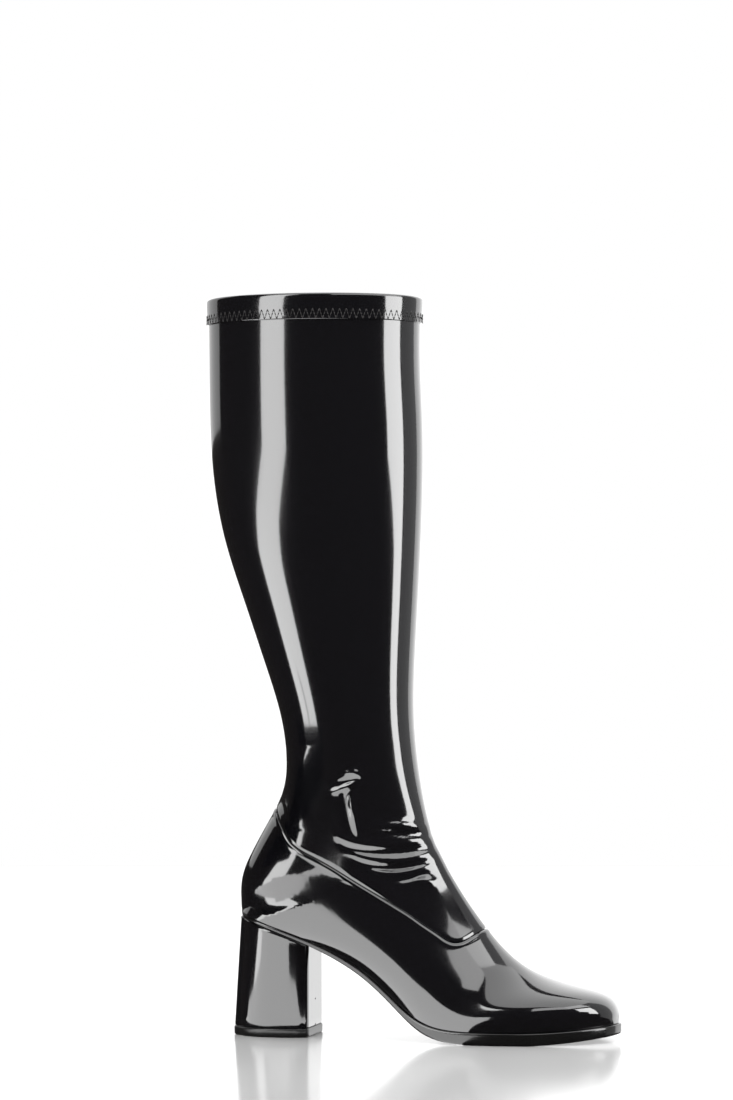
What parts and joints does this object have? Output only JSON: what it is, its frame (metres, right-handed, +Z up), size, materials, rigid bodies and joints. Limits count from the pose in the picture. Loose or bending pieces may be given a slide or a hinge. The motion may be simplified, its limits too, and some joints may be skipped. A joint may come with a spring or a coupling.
{
  "type": "go go boot",
  "caption": "Right-foot go-go boot in black stretch patent: below-knee leg with turned hem, ankle seam, round toe, block heel and thin sole. Stands upright, empty.",
  "frame": {"origin": "on the floor, under the centre of the boot's bounding box", "axes": "+X towards the toe, -Y towards the outer side of the foot, +Z up the leg"},
  "size_m": [0.262, 0.0972, 0.4585],
  "materials": {
    "patent": "high gloss black patent",
    "stretch_patent": "high gloss black stretch patent",
    "sole": "smooth black sole with a polished edge",
    "lift": "smooth black hard rubber",
    "sock": "black sock lining"
  },
  "bodies": {
    "root": {"upper": "patent", "shaft": "stretch_patent", "cuff": "stretch_patent", "insole": "sock", "outsole": "sole", "heel": "patent", "heel_top_piece": "lift"}
  },
  "joints": []
}
